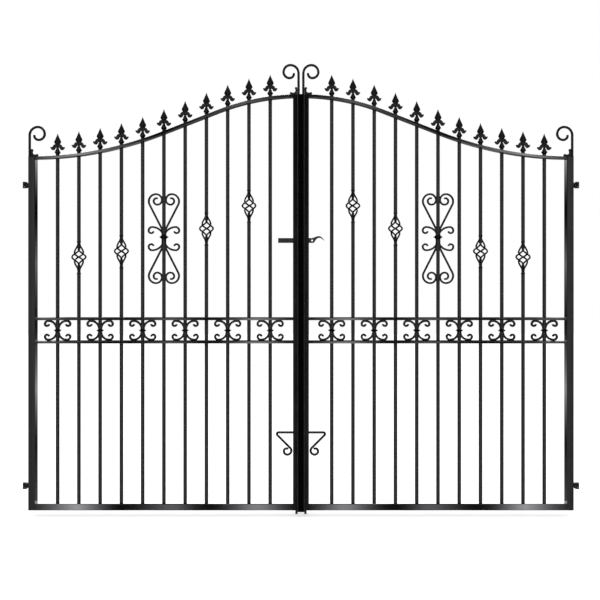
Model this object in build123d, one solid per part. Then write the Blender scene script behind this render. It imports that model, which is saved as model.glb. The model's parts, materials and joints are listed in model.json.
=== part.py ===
from build123d import *
import os
from math import atan2, cos, degrees, pi, radians, sin, sqrt, tan

os.makedirs("parts", exist_ok=True)

# A pair of welded steel driveway gate leaves between two pillars, closed.
# The model is built with x = 0 on the line where the leaves meet, y = 0 at mid depth, z = 0 at
# the leaves' lower edge and +y behind the gate. Each leaf is built on the left, and the right
# one is its mirror image. All sizes are in mm.

# Leaves
leaf_width = 1195
centre_gap = 10
member_face = 30
member_depth = 40
outer_height = 1558
sweep_rise = 273

# Rails of flat bar. The swept one leans more than a straight line between its ends would, by the
# steepness ratio, and its lower arc has the given share of the two radii.
flat_thick = 10
top_thick = 12
band_top = 847
band_gap = 92.4
sweep_start = 25
sweep_steepness_ratio = 1.634
lower_radius_share = 0.609

# Infill bars, with the margins from the leaf's edges to the first and last bars' middles
bar_radius = 8
bar_count = 11
outer_margin = 124
inner_margin = 131
punch_clearance = 0.2
bar_rise = 4

# Spear finials, with heights above the bar's top
spear_tip = 93
spear_wide_height = 57.5
spear_half_width = 15
spear_flatness = 0.6
neck_height = 44
neck_radius = 5.5
waist_height = 31
waist_radius = 4.2
bulb_height = 12
bulb_radius = 13
arm_reach = 30
arm_height = 24
arm_depth = 10

# Twisted baskets, from the bottom bar end to the top one
basket_length = 141
basket_swell = 29.8
basket_wire = 3.3
basket_cup_height = 12
basket_cup_radius = 8.8
basket_stations = 14
basket_lifts = (268, 299, 394, 493)

# Heart panel on the middle bar, at a share of the height from the band up to the top rail. Its
# outline is drawn for the template's bar pitch and widens and narrows with the real one.
heart_template_pitch = 94
heart_height_share = 0.429
heart_wire = 8
heart_foot_run = 34
heart_foot_bend = 24
heart_side_run = 116
heart_side_angle = 27
heart_curls = (32, 26, 20.5, 16, 12.5)
heart_curl_end = 10
heart_curl_end_angle = 35
small_scroll_run = 17.5
small_scroll_bends = (20, 50.5)
small_scroll_angle = 38
small_scroll_curls = (15, 9.2)
small_scroll_end_angle = 70
heart_collar_radius = 19.5
heart_collar_height = 18
heart_collar_lift = 7.5

# Scroll pairs in the band, whose wide arms take up what the gap between the rails leaves
band_wire = 9
band_foot_run = 6
band_curls = (13.5, 9)
band_curl_end_angle = 60
band_collar_radius = 16
band_collar_height = 9

# Scrolls and brackets that stand on the top corners, flush with the leaf's front
corner_rod_radius = 5
corner_rod_run = 94
corner_curls = (35.6, 30.5, 26.5, 21)
corner_leg = 33
corner_web = 6.5
corner_fillet = 9
corner_knob = 5.2
corner_depth = 8
corner_seat = 0.2

# Hinges
lower_hinge_height = 104.5
upper_hinge_drop = 125
hinge_stand_off = 13
bracket_reach = 28
bracket_height = 29
bracket_depth = 16
bracket_plate = 5
bracket_round = 17
ear_thick = 6
ear_radius = 7.5
pin_radius = 5
running_clearance = 0.05
eye_radius = 8
eye_height = 16
eye_seat = 0.3
shank_radius = 5.5

# Cover strip over the gap, on the right leaf
strip_width = 29
strip_thick = 5
strip_drop = 3.5
strip_clearance = 5
packer_height = 30
packer_count = 4

# Latch on the right leaf and its keeper on the left one
latch_height = 1188
latch_bar_height = 20
latch_thick = 6
latch_clearance = 5
latch_seat = 0.3
latch_left = 101
latch_plate_right = 57.5
padlock_hole_radius = 5
padlock_hole_x = 49.6
tail_rise = 19
tail_thick = 6.5
tail_tip_x = 104
tail_tip_height = -2
pivot_radius = 5
pivot_head_radius = 9
pivot_head_thick = 4
keeper_width = 20
keeper_thick = 5
keeper_lip = 4

# Drop bolts
bolt_radius = 4.75
bolt_drop = 31.5
bolt_handle_height = 331.5
bolt_bend = 12
bolt_handle_run = 68.3
bolt_hook_bend = 7
bolt_hook_angle = 135
bolt_stem_run = 81
bolt_curls = (17, 18, 15.5, 12, 12)
bolt_curl_angles = (45, 90, 90, 90, 40)
bolt_stand_off = 12
guide_width = 20
guide_height = 16
lower_guide_height = 60
guide_drop = 19.5

# What follows from the sizes above
leaf_inner = centre_gap / 2
leaf_outer = leaf_inner + leaf_width
half_depth = member_depth / 2
corner_y = corner_rod_radius - half_depth
stile_inner = leaf_inner + member_face
stile_centre = leaf_inner + member_face / 2
bar_pitch = (leaf_width - outer_margin - inner_margin) / (bar_count - 1)
heart_bar = bar_count // 2
band_scroll_bars = range(0, bar_count, 2)
basket_bars = [number for number in range(1, bar_count, 2) if number != heart_bar]
basket_heights = {bar: band_top + lift for bar, lift in zip(basket_bars, basket_lifts)}
band_low = band_top - flat_thick - band_gap - flat_thick
band_middle = band_top - flat_thick - band_gap / 2
centre_height = outer_height + sweep_rise
sweep_run = leaf_outer - sweep_start
sweep_angle = sweep_steepness_ratio * atan2(sweep_rise, sweep_run)
sweep_straight = sweep_rise / tan(sweep_angle / 2) - sweep_run
sweep_sum = (sweep_run - sweep_straight * cos(sweep_angle)) / sin(sweep_angle)
lower_sweep_radius = sweep_sum * lower_radius_share
upper_sweep_radius = sweep_sum - lower_sweep_radius
upper_hinge_height = outer_height - upper_hinge_drop
hinge_x = leaf_outer + hinge_stand_off
pillar_x = leaf_outer + bracket_reach
origin = Location((pillar_x, 0, -lower_hinge_height))


# Height of the top rail's upper edge at a distance from the leaf's outer edge
def rail_top(reach):
    from_start = reach - sweep_start
    from_end = leaf_outer - reach
    if from_start < 0:
        return outer_height
    if from_start < lower_sweep_radius * sin(sweep_angle):
        drop = sqrt(lower_sweep_radius**2 - from_start**2)
        return outer_height + lower_sweep_radius - drop
    if from_end < upper_sweep_radius * sin(sweep_angle):
        return centre_height - upper_sweep_radius + sqrt(upper_sweep_radius**2 - from_end**2)
    past_arc = from_start - lower_sweep_radius * sin(sweep_angle)
    arc_rise = lower_sweep_radius * (1 - cos(sweep_angle))
    return outer_height + arc_rise + past_arc * tan(sweep_angle)


def bar_reach(number):
    return outer_margin + bar_pitch * number


def bar_x(number):
    return bar_reach(number) - leaf_outer


def bar_top(number):
    return rail_top(bar_reach(number)) + bar_rise


stile_top = rail_top(leaf_width - member_face)


# A block given by its low and high corners
def block(low, high):
    size = [top - bottom for bottom, top in zip(low, high)]
    return Pos(*low) * Box(*size, align=(Align.MIN, Align.MIN, Align.MIN))


# Turns what is drawn flat, with its own y as height, to stand in the gate's plane
def upright(shape):
    return Rot(90, 0, 0) * shape


# A flat path of straight runs and tangent arcs: (length,) is a run, (radius, angle) a turn
def bent_path(start, heading, moves):
    edges = []
    point = Vector(*start)
    direction = Vector(cos(radians(heading)), sin(radians(heading)))
    for move in moves:
        if len(move) == 1:
            edge = Line(point, point + direction * move[0])
        else:
            edge = JernArc(point, direction, *move)
        edges.append(edge)
        point = edge @ 1
        direction = edge % 1
    return Wire([part for edge in edges for part in edge.edges()])


def bent_bar(start, heading, moves, width, depth):
    path = bent_path(start, heading, moves)
    section = Plane(origin=path @ 0, x_dir=(0, 0, 1), z_dir=path % 0) * Rectangle(depth, width)
    return upright(sweep(section, path))


def bent_rod(start, heading, moves, radius):
    path = bent_path(start, heading, moves)
    section = Plane(origin=path @ 0, z_dir=path % 0) * Circle(radius)
    return upright(sweep(section, path))


# A ring with a pointed rim around an infill bar
def pointed_collar(rim_radius, height):
    inside = bar_radius + punch_clearance
    profile = Polyline((inside, -height / 2), (rim_radius, 0), (inside, height / 2), close=True)
    return revolve(upright(make_face(profile)), Axis.Z)


def bar_bore(length):
    return Cylinder(bar_radius + punch_clearance, length)


def outer_stile():
    return block((-leaf_outer, -half_depth, 0), (member_face - leaf_outer, half_depth, outer_height))


def meeting_stile():
    return block((-stile_inner, -half_depth, 0), (-leaf_inner, half_depth, stile_top))


def bottom_rail():
    return block((member_face - leaf_outer, -half_depth, 0), (-stile_inner, half_depth, member_face))


def bar_holes(low, high):
    holes = []
    for number in range(bar_count):
        middle = Pos(bar_x(number), 0, (low + high) / 2)
        holes.append(middle * Cylinder(bar_radius + punch_clearance, high - low))
    return holes


def mid_rail(low):
    rail = block(
        (member_face - leaf_outer, -half_depth, low), (-stile_inner, half_depth, low + flat_thick)
    )
    return rail - bar_holes(low - 1, low + flat_thick + 1)


# The swept flat bar: an arc up, a straight run and an arc to level at the centre line
def top_rail():
    half = top_thick / 2
    lean = degrees(sweep_angle)
    moves = [
        (sweep_start,),
        (lower_sweep_radius + half, lean),
        (sweep_straight,),
        (upper_sweep_radius - half, -lean),
    ]
    bar = bent_bar((-leaf_outer, outer_height - half), 0, moves, top_thick, member_depth)
    between = block(
        (member_face - leaf_outer, -member_depth, outer_height - member_depth),
        (-stile_inner, member_depth, centre_height + member_depth),
    )
    return (bar & between) - bar_holes(outer_height - member_depth, centre_height + member_depth)


def infill_bars():
    bars = []
    for number in range(bar_count):
        spans = [(member_face, bar_top(number))]
        if number in basket_heights:
            low = basket_heights[number] - basket_length / 2
            spans = [(member_face, low), (low + basket_length, bar_top(number))]
        for low, high in spans:
            bars.append(Pos(bar_x(number), 0, (low + high) / 2) * Cylinder(bar_radius, high - low))
    return bars


# An eight-sided lofted form from (height, half width, half depth) sections
def faceted(sections):
    faces = []
    for height, half_width, half_side in sections:
        corners = []
        for corner in range(8):
            angle = pi / 8 + corner * pi / 4
            corners.append((half_width * cos(angle), half_side * sin(angle)))
        faces.append(Pos(0, 0, height) * make_face(Polyline(*corners, close=True)))
    return loft(faces, ruled=True)


# Cast spear over a bulb, with an arm that arches out and flicks up on each side
def finial():
    corner_factor = 1 / cos(pi / 8)
    wide = spear_half_width * corner_factor
    core = faceted(
        [
            (0, bar_radius, bar_radius),
            (bulb_height * 0.3, bar_radius, bar_radius),
            (bulb_height, bulb_radius * corner_factor, bulb_radius * corner_factor),
            (waist_height, waist_radius, waist_radius),
            (neck_height, neck_radius, neck_radius),
            (spear_wide_height, wide, wide * spear_flatness),
            (spear_tip, 0.6, 0.6),
        ]
    )
    root = neck_radius / arm_reach / 2

    def spot(across, down):
        return (arm_reach * across, neck_height - arm_height * down)

    outer_edge = Spline(spot(root, 0.1), spot(0.45, 0), spot(0.7, 0.25))
    notch = Spline(spot(0.7, 0.25), spot(0.7, 0.54), spot(1, 0.5))
    under = Spline(spot(1, 0.5), spot(0.62, 1), spot(0.33, 0.66))
    inner_edge = Spline(spot(0.33, 0.66), spot(0.26, 0.43), spot(root, 0.38))
    closing = Line(spot(root, 0.38), spot(root, 0.1))
    outline = make_face([outer_edge, notch, under, inner_edge, closing])
    arm = upright(extrude(outline, arm_depth / 2, both=True))
    return core + arm + mirror(arm, Plane.YZ)


def finials():
    pattern = finial()
    return [Pos(bar_x(number), 0, bar_top(number)) * pattern for number in range(bar_count)]


# One wire of a basket: a six-sided section lofted along a left-hand turn that swells and closes
def twisted_wire(phase):
    bundle = basket_wire * sqrt(2)
    low = -basket_length / 2 + basket_cup_height / 2
    rise = -2 * low
    step = 1 / basket_stations

    def point(share):
        swell = bundle + (basket_swell - bundle) * sin(pi * share) ** 2
        turn = phase - 2 * pi * share
        return Vector(swell * cos(turn), swell * sin(turn), low + rise * share)

    sections = []
    for station in range(basket_stations + 1):
        share = station * step
        here = point(share)
        along = point(share + step / 4) - point(share - step / 4)
        outward = Vector(here.X, here.Y, 0)
        plane = Plane(origin=here, x_dir=outward.cross(along), z_dir=along)
        sections.append(plane * RegularPolygon(basket_wire, 6))
    return loft(sections, ruled=True)


def basket():
    cup = faceted(
        [
            (0, bar_radius, bar_radius),
            (basket_cup_height / 2, basket_cup_radius, basket_cup_radius),
            (basket_cup_height, bar_radius * 0.75, bar_radius * 0.75),
        ]
    )
    low_cup = Pos(0, 0, -basket_length / 2) * cup
    whole = low_cup + mirror(low_cup, Plane.XY)
    for wire in range(4):
        whole += twisted_wire(wire * pi / 2)
    return whole


def baskets():
    pattern = basket()
    return [Pos(bar_x(number), 0, high) * pattern for number, high in basket_heights.items()]


# One quarter of the heart panel: a heart side that ends in a spiral, and a small scroll
def heart_quarter():
    wire = (heart_wire, heart_wire)
    start = (-bar_radius - punch_clearance, 0)
    widen = bar_pitch / heart_template_pitch
    heart_moves = [
        (heart_foot_run * widen,),
        (heart_foot_bend * widen, heart_side_angle),
        (heart_side_run * widen,),
        (heart_curls[0] * widen, -heart_side_angle),
        *[(radius * widen, -90) for radius in heart_curls],
        (heart_curl_end * widen, -heart_curl_end_angle),
    ]
    foot_bend, wide_bend = small_scroll_bends
    scroll_moves = [
        (small_scroll_run * widen,),
        (foot_bend * widen, small_scroll_angle),
        (wide_bend * widen, 90 - small_scroll_angle),
        *[(radius * widen, 90) for radius in small_scroll_curls],
        (small_scroll_curls[-1] * widen, small_scroll_end_angle),
    ]
    return bent_bar(start, 90, heart_moves, *wire) + bent_bar(start, 90, scroll_moves, *wire)


# Cast heart panel that clasps the middle bar
def heart_scrolls():
    quarter = heart_quarter()
    left_half = quarter + mirror(quarter, Plane.XY)
    panel = left_half + mirror(left_half, Plane.YZ)
    collar = pointed_collar(heart_collar_radius, heart_collar_height)
    panel += Pos(0, 0, heart_collar_lift) * collar
    panel -= bar_bore(outer_height)
    room = rail_top(bar_reach(heart_bar)) - band_top
    return Pos(bar_x(heart_bar), 0, band_top + heart_height_share * room) * panel


# Two scrolls back to back around a bar, which touch the rails above and below
def band_scroll():
    arm = band_gap / 2 - band_wire / 2 - band_foot_run
    half_moves = [
        (band_foot_run,),
        (arm, 90),
        *[(radius, 90) for radius in band_curls],
        (band_curls[-1], band_curl_end_angle),
    ]
    half = bent_bar((-bar_radius, 0), 90, half_moves, band_wire, band_wire)
    left = half + mirror(half, Plane.XY)
    pair = left + mirror(left, Plane.YZ)
    pair += pointed_collar(band_collar_radius, band_collar_height)
    return pair - bar_bore(band_gap)


def band_scrolls():
    pattern = band_scroll()
    return [Pos(bar_x(number), 0, band_middle) * pattern for number in band_scroll_bars]


# A rod that stands on a stile and curls over; the turn is -1 to the right and 1 to the left
def corner_scroll(rod_x, foot, turn):
    moves = [(corner_rod_run,)] + [(radius, turn * 90) for radius in corner_curls]
    return Pos(0, corner_y, 0) * bent_rod((rod_x, foot), 90, moves, corner_rod_radius)


# Small cast bracket in the corner of rod and rail: two legs with a fillet, and a knob on each end
def corner_bracket():
    corner = (Align.MIN, Align.MIN)
    plate = Rectangle(corner_leg, corner_web, align=corner)
    plate += Rectangle(corner_web, corner_leg, align=corner)
    inside = plate.vertices().sort_by_distance((corner_web, corner_web))[0]
    plate = fillet(inside, corner_fillet)
    end = corner_leg - corner_knob
    plate += Pos(end, corner_knob) * Circle(corner_knob)
    plate += Pos(corner_knob, end) * Circle(corner_knob)
    return upright(extrude(plate, corner_depth / 2, both=True))


def corner_brackets():
    pattern = corner_bracket()
    rod_side = 2 * corner_rod_radius + corner_seat
    outer = Pos(rod_side - leaf_outer, corner_y, outer_height + corner_seat) * pattern
    centre_foot = stile_top + corner_seat
    centre = Pos(-leaf_inner - rod_side, corner_y, centre_foot) * mirror(pattern, Plane.YZ)
    return [outer, centre]


# Eye on a round shank that is fixed in the outer stile
def hinge_eye():
    eye = Pos(0, 0, eye_height / 2) * Cylinder(eye_radius, eye_height)
    shank_from = eye_radius * 0.6
    length = hinge_stand_off - shank_from
    middle = Pos(shank_from + length / 2, 0, eye_height / 2)
    eye += middle * Rot(0, 90, 0) * Cylinder(shank_radius, length)
    bore = Pos(0, 0, eye_height / 2) * Cylinder(pin_radius + running_clearance, 2 * eye_height)
    return eye - bore


def hinge_eyes():
    lift = ear_thick + eye_seat - bracket_height / 2
    pattern = Pos(-hinge_x, 0, lift) * hinge_eye()
    return [Pos(0, 0, height) * pattern for height in (lower_hinge_height, upper_hinge_height)]


# Fixed bracket on the pillar: a back plate, two ears and the pin that carries the eye
def hinge_bracket(height):
    half_height = bracket_height / 2
    plate = block(
        (-pillar_x, -bracket_depth / 2, -half_height),
        (bracket_plate - pillar_x, bracket_depth / 2, half_height),
    )
    whole = plate
    for low in (-half_height, half_height - ear_thick):
        web = block(
            (bracket_plate - pillar_x, -ear_radius, low), (-hinge_x, ear_radius, low + ear_thick)
        )
        tip = Pos(-hinge_x, 0, low + ear_thick / 2) * Cylinder(ear_radius, ear_thick)
        whole += web + tip
    whole += Pos(-hinge_x, 0, 0) * Cylinder(pin_radius, bracket_height)
    round_x = -leaf_outer - bracket_round
    round_end = Pos(round_x, 0, 0) * Rot(90, 0, 0) * Cylinder(half_height, bracket_depth)
    square_end = block(
        (-pillar_x, -bracket_depth / 2, -half_height), (round_x, bracket_depth / 2, half_height)
    )
    return Pos(0, 0, height) * (whole & (round_end + square_end))


def cover_strip():
    front = -half_depth - strip_clearance - strip_thick
    low = (-strip_width / 2, front, -strip_drop)
    high = (strip_width / 2, front + strip_thick, stile_top)
    return block(low, high)


# Short blocks that hold the strip off the right leaf's stile
def strip_packers():
    top = stile_top - packer_height
    packers = []
    for number in range(packer_count):
        low = top * number / (packer_count - 1)
        packers.append(
            block(
                (leaf_inner, -half_depth - strip_clearance, low),
                (strip_width / 2, -half_depth, low + packer_height),
            )
        )
    return packers


# Lever with a flat bar to the left, a plate with a padlock hole and a curled tail to the right
def latch_lever():
    half = latch_bar_height / 2
    tip = (tail_tip_x, tail_tip_height)
    crest_x = (latch_plate_right + tail_tip_x) / 2
    top_end = (latch_plate_right - half, half)
    low_end = (latch_plate_right, -half)
    over = Spline(top_end, (crest_x, tail_rise), tip, tangents=[(1, 0.2), (0.5, -1)])
    under = Spline(
        tip, (crest_x, tail_rise - tail_thick), low_end, tangents=[(-0.8, 1), (-0.5, -1)]
    )
    bar = Polyline(low_end, (-latch_left, -half), (-latch_left, half), top_end)
    blank = make_face([over, under, *bar.edges()])
    blank -= Pos(padlock_hole_x, 0) * Circle(padlock_hole_radius)
    blank -= Pos(stile_centre, 0) * Circle(pivot_radius + running_clearance)
    front = half_depth + latch_clearance
    return Pos(0, front + latch_thick, latch_height) * upright(extrude(blank, latch_thick))


# Turned pin on the right leaf's stile, with a shoulder and a head around the lever
def latch_pivot():
    shoulder = latch_clearance - latch_seat
    head_from = latch_clearance + latch_thick + latch_seat
    length = head_from + pivot_head_thick
    pin = Cylinder(pivot_radius, length, align=(Align.CENTER, Align.CENTER, Align.MIN))
    pin += Cylinder(pivot_head_radius, shoulder, align=(Align.CENTER, Align.CENTER, Align.MIN))
    pin += Pos(0, 0, head_from) * Cylinder(
        pivot_head_radius, pivot_head_thick, align=(Align.CENTER, Align.CENTER, Align.MIN)
    )
    return Pos(stile_centre, half_depth, latch_height) * Rot(-90, 0, 0) * pin


# Open-topped catch behind the left leaf's stile: a shelf under the bar and a lip behind it
def latch_keeper():
    left = -stile_centre - keeper_width / 2
    right = left + keeper_width
    bar_bottom = latch_height - latch_bar_height / 2
    lip_from = half_depth + 2 * latch_clearance + latch_thick
    shelf_top = bar_bottom - latch_seat
    low = shelf_top - keeper_thick
    shelf = block((left, half_depth, low), (right, lip_from + keeper_thick, shelf_top))
    lip_top = latch_height + latch_bar_height / 2 + keeper_lip
    lip = block((left, lip_from, low), (right, lip_from + keeper_thick, lip_top))
    return shelf + lip


# Round bolt with a bent handle that ends in a curl
def drop_bolt():
    rod_run = bolt_handle_height - bolt_bend + bolt_drop
    moves = [
        (rod_run,),
        (bolt_bend, 90),
        (bolt_handle_run,),
        (bolt_hook_bend, bolt_hook_angle),
        (bolt_stem_run,),
        *[(radius, -angle) for radius, angle in zip(bolt_curls, bolt_curl_angles)],
    ]
    rod = bent_rod((-stile_centre, -bolt_drop), 90, moves, bolt_radius)
    return Pos(0, half_depth + bolt_stand_off, 0) * rod


def bolt_guides():
    guides = []
    for middle in (lower_guide_height, bolt_handle_height - bolt_bend - guide_drop):
        left = -stile_centre - guide_width / 2
        back = half_depth + bolt_stand_off + guide_width / 2
        guide = block(
            (left, half_depth, middle - guide_height / 2),
            (left + guide_width, back, middle + guide_height / 2),
        )
        bore = Cylinder(bolt_radius + 2 * running_clearance, 2 * guide_height)
        guides.append(guide - Pos(-stile_centre, half_depth + bolt_stand_off, middle) * bore)
    return guides


# Writes one sub-part, moved so that the origin is on the lower left bracket's pillar face
def save(name, shape):
    solids = []
    for item in shape if isinstance(shape, list) else [shape]:
        solids.extend(item.solids())
    placed = [solid.moved(origin) for solid in solids]
    export_step(placed[0] if len(placed) == 1 else Compound(placed), f"parts/{name}.step")


def save_both(name, shape):
    left = shape if isinstance(shape, list) else [shape]
    save(f"left_{name}", left)
    save(f"right_{name}", [mirror(item, Plane.YZ) for item in left])


save_both("outer_stile", outer_stile())
save_both("meeting_stile", meeting_stile())
save_both("bottom_rail", bottom_rail())
save_both("top_rail", top_rail())
save_both("upper_mid_rail", mid_rail(band_top - flat_thick))
save_both("lower_mid_rail", mid_rail(band_low))
save_both("infill_bars", infill_bars())
save_both("finials", finials())
save_both("baskets", baskets())
save_both("heart_scrolls", heart_scrolls())
save_both("band_scrolls", band_scrolls())
save_both("outer_corner_scroll", corner_scroll(corner_rod_radius - leaf_outer, outer_height, -1))
save_both("centre_corner_scroll", corner_scroll(-leaf_inner - corner_rod_radius, stile_top, 1))
save_both("corner_brackets", corner_brackets())
save_both("hinge_eyes", hinge_eyes())
save_both("lower_hinge_bracket", hinge_bracket(lower_hinge_height))
save_both("upper_hinge_bracket", hinge_bracket(upper_hinge_height))
save_both("drop_bolt", drop_bolt())
save_both("bolt_guides", bolt_guides())
save("cover_strip", cover_strip())
save("strip_packers", strip_packers())
save("latch_lever", latch_lever())
save("latch_pivot", latch_pivot())
save("latch_keeper", latch_keeper())
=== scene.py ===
import json
from math import asin, atan2, ceil, copysign, cos, degrees, pi, radians, sin, sqrt, tan

import bmesh
import bpy
from mathutils import Matrix, Vector


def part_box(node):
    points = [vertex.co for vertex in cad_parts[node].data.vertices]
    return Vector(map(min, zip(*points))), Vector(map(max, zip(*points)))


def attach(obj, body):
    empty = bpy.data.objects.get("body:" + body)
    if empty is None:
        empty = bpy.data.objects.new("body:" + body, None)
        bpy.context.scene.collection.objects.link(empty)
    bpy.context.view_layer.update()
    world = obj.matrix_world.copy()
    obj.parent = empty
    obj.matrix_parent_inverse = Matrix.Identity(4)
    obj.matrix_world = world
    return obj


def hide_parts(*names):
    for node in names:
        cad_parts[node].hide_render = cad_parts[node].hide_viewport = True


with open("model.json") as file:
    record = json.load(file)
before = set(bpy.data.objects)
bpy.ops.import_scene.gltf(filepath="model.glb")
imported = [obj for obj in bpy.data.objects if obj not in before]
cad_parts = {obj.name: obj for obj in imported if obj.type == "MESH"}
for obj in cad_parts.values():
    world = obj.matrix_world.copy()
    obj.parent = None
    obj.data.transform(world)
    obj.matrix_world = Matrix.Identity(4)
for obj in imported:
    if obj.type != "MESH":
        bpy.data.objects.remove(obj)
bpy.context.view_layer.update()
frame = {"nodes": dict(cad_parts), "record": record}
cadNodes = frame["nodes"]
mm = 0.001
print("frame loaded with", len(cadNodes), "nodes")

# The gate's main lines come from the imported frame. Each shape is drawn for the left leaf, with
# x from the line where the leaves meet, y from mid depth and z from the leaves' lower edge.
stripLow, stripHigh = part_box("cover_strip")
stileLow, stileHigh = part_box("left_outer_stile")
meetingLow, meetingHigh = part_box("left_meeting_stile")
midX = (stripLow.x + stripHigh.x) / 2
baseZ = stileLow.z
halfDepth = stileHigh.y
memberFace = stileHigh.x - stileLow.x
leafOuter = midX - stileLow.x
leafInner = midX - meetingHigh.x
outerHeight = stileHigh.z - baseZ
meetingHeight = meetingHigh.z - baseZ
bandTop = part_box("left_upper_mid_rail")[1].z - baseZ
stileCentre = leafInner + memberFace / 2
hands = {"left": 1, "right": -1}


# Adds one node: inputs are values or sockets by input name or number, settings its own properties
def addNode(tree, kind, inputs=None, **settings):
    node = tree.nodes.new(kind)
    for name, value in settings.items():
        setattr(node, name, value)
    for key, value in (inputs or {}).items():
        if isinstance(value, bpy.types.NodeSocket):
            tree.links.new(value, node.inputs[key])
        else:
            node.inputs[key].default_value = value
    return node


# sRGB hex to the linear colour that shaders take
def linearColour(hexCode):
    channels = []
    for start in (1, 3, 5):
        value = int(hexCode[start:start + 2], 16) / 255
        channels.append(value / 12.92 if value <= 0.04045 else ((value + 0.055) / 1.055) ** 2.4)
    return (*channels, 1.0)


# Black alkyd enamel, sprayed on steel. The eye gets a near black colour, a clear gloss that
# breaks up a little in orange peel, and softer patches where dust settled in the wet film.
def enamel(name, finish):
    material = bpy.data.materials.new(name)
    material.use_nodes = True
    tree = material.node_tree
    tree.nodes.clear()
    place = addNode(tree, "ShaderNodeTexCoord").outputs["Object"]
    patches = addNode(
        tree, "ShaderNodeTexNoise",
        {"Vector": place, "Scale": 1 / finish["patchSize"], "Detail": 3.0, "Roughness": 0.6},
    ).outputs["Fac"]
    colour = addNode(
        tree, "ShaderNodeMix",
        {"Factor": patches, 6: linearColour(finish["colour"]), 7: linearColour(finish["dust"])},
        data_type="RGBA",
    )
    if "paintedHighlight" in finish:  # painted highlight: a paler colour on faces that turn sideways, standing in for light caught along the long edges
        facing = addNode(tree, "ShaderNodeTexCoord").outputs["Normal"]
        sideways = addNode(tree, "ShaderNodeSeparateXYZ", {"Vector": facing}).outputs["X"]
        turned = addNode(tree, "ShaderNodeMath", {0: sideways}, operation="ABSOLUTE")
        turnFrom, turnTo = finish["paintedHighlightTurn"]
        highlightShare = addNode(
            tree, "ShaderNodeMapRange",
            {"Value": turned.outputs["Value"], "From Min": turnFrom, "From Max": turnTo},
        )
        colour = addNode(
            tree, "ShaderNodeMix",
            {"Factor": highlightShare.outputs["Result"], 6: colour.outputs[2],
             7: linearColour(finish["paintedHighlight"])},
            data_type="RGBA",
        )
    gloss = addNode(
        tree, "ShaderNodeMapRange",
        {"Value": patches, "From Min": 0.3, "From Max": 0.7,
         "To Min": finish["gloss"][0], "To Max": finish["gloss"][1]},
    )
    peel = addNode(
        tree, "ShaderNodeTexNoise",
        {"Vector": place, "Scale": 1 / finish["peelSize"], "Detail": 1.0},
    )
    peelBump = addNode(
        tree, "ShaderNodeBump",
        {"Height": peel.outputs["Fac"], "Distance": finish["peelHeight"], "Strength": 1.0},
    )
    grain = addNode(
        tree, "ShaderNodeTexNoise",
        {"Vector": place, "Scale": 1 / finish["grainSize"], "Detail": 2.0},
    )
    grainBump = addNode(
        tree, "ShaderNodeBump",
        {"Height": grain.outputs["Fac"], "Distance": finish["grainHeight"], "Strength": 1.0,
         "Normal": peelBump.outputs["Normal"]},
    )
    paint = addNode(
        tree, "ShaderNodeBsdfPrincipled",
        {"Base Color": colour.outputs[2],
         "Roughness": gloss.outputs["Result"], "Normal": grainBump.outputs["Normal"],
         "IOR": 1.5, "Specular IOR Level": finish["specular"]},
    )
    addNode(tree, "ShaderNodeOutputMaterial", {"Surface": paint.outputs["BSDF"]})
    return material


# Sizes are real ones: orange peel on brushed or sprayed enamel is 2 to 4 mm across and a few
# hundredths of a millimetre high, and the sand of a casting leaves grains of about 0.7 mm.
finishes = {
    "gloss_black_frame": enamel("gloss_enamel_on_box_section", {
        "colour": "#060607", "dust": "#0a0a0b", "gloss": (0.035, 0.06), "patchSize": 90 * mm,
        "peelSize": 4 * mm, "peelHeight": 0.004 * mm, "grainSize": 0.8 * mm,
        "grainHeight": 0.0005 * mm, "specular": 0.5}),
    "gloss_black_bars": enamel("gloss_enamel_on_round_bar", {
        "colour": "#202021", "dust": "#242425", "gloss": (0.2, 0.26), "patchSize": 60 * mm,
        "peelSize": 3 * mm, "peelHeight": 0.001 * mm, "grainSize": 0.8 * mm,
        "grainHeight": 0.0002 * mm, "specular": 0.2}),
    "gloss_black_castings": enamel("enamel_on_sand_casting", {
        "colour": "#040404", "dust": "#0a0a0b", "gloss": (0.24, 0.36), "patchSize": 25 * mm,
        "peelSize": 2.5 * mm, "peelHeight": 0.02 * mm, "grainSize": 0.7 * mm,
        "grainHeight": 0.006 * mm, "specular": 0.22}),
    "gloss_black_hardware": enamel("enamel_on_forged_hardware", {
        "colour": "#050505", "dust": "#0c0c0d", "gloss": (0.2, 0.32), "patchSize": 18 * mm,
        "peelSize": 2.5 * mm, "peelHeight": 0.012 * mm, "grainSize": 0.6 * mm,
        "grainHeight": 0.004 * mm, "specular": 0.28}),
    # the strip's paler colour on its sideways faces is a painted highlight along its long edges
    "black_strip": enamel("satin_black_on_steel_strip", {
        "colour": "#010101", "dust": "#030303", "paintedHighlight": "#585858", "paintedHighlightTurn": (0.15, 0.4),
        "gloss": (0.5, 0.6), "patchSize": 120 * mm, "peelSize": 3 * mm, "peelHeight": 0.01 * mm,
        "grainSize": 0.8 * mm, "grainHeight": 0.002 * mm, "specular": 0.01}),
}
for subpart in frame["record"]["subparts"]:
    cadMesh = cadNodes[subpart["node"]].data
    cadMesh.materials.clear()
    cadMesh.materials.append(finishes[subpart["material_slot"]])
print("paints made:", len(finishes))


# The mesh of an object as its curve settings or modifiers shape it; the object is then removed
def bakeMesh(obj):
    bpy.context.scene.collection.objects.link(obj)
    depsgraph = bpy.context.evaluated_depsgraph_get()
    mesh = bpy.data.meshes.new_from_object(obj.evaluated_get(depsgraph), depsgraph=depsgraph)
    bpy.data.objects.remove(obj)
    return mesh


# Joins meshes into one
def joined(meshes):
    merged = bmesh.new()
    for mesh in meshes:
        merged.from_mesh(mesh)
    whole = bpy.data.meshes.new("joined")
    merged.to_mesh(whole)
    merged.free()
    return whole


doubleGap = 0.002 * mm


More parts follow.
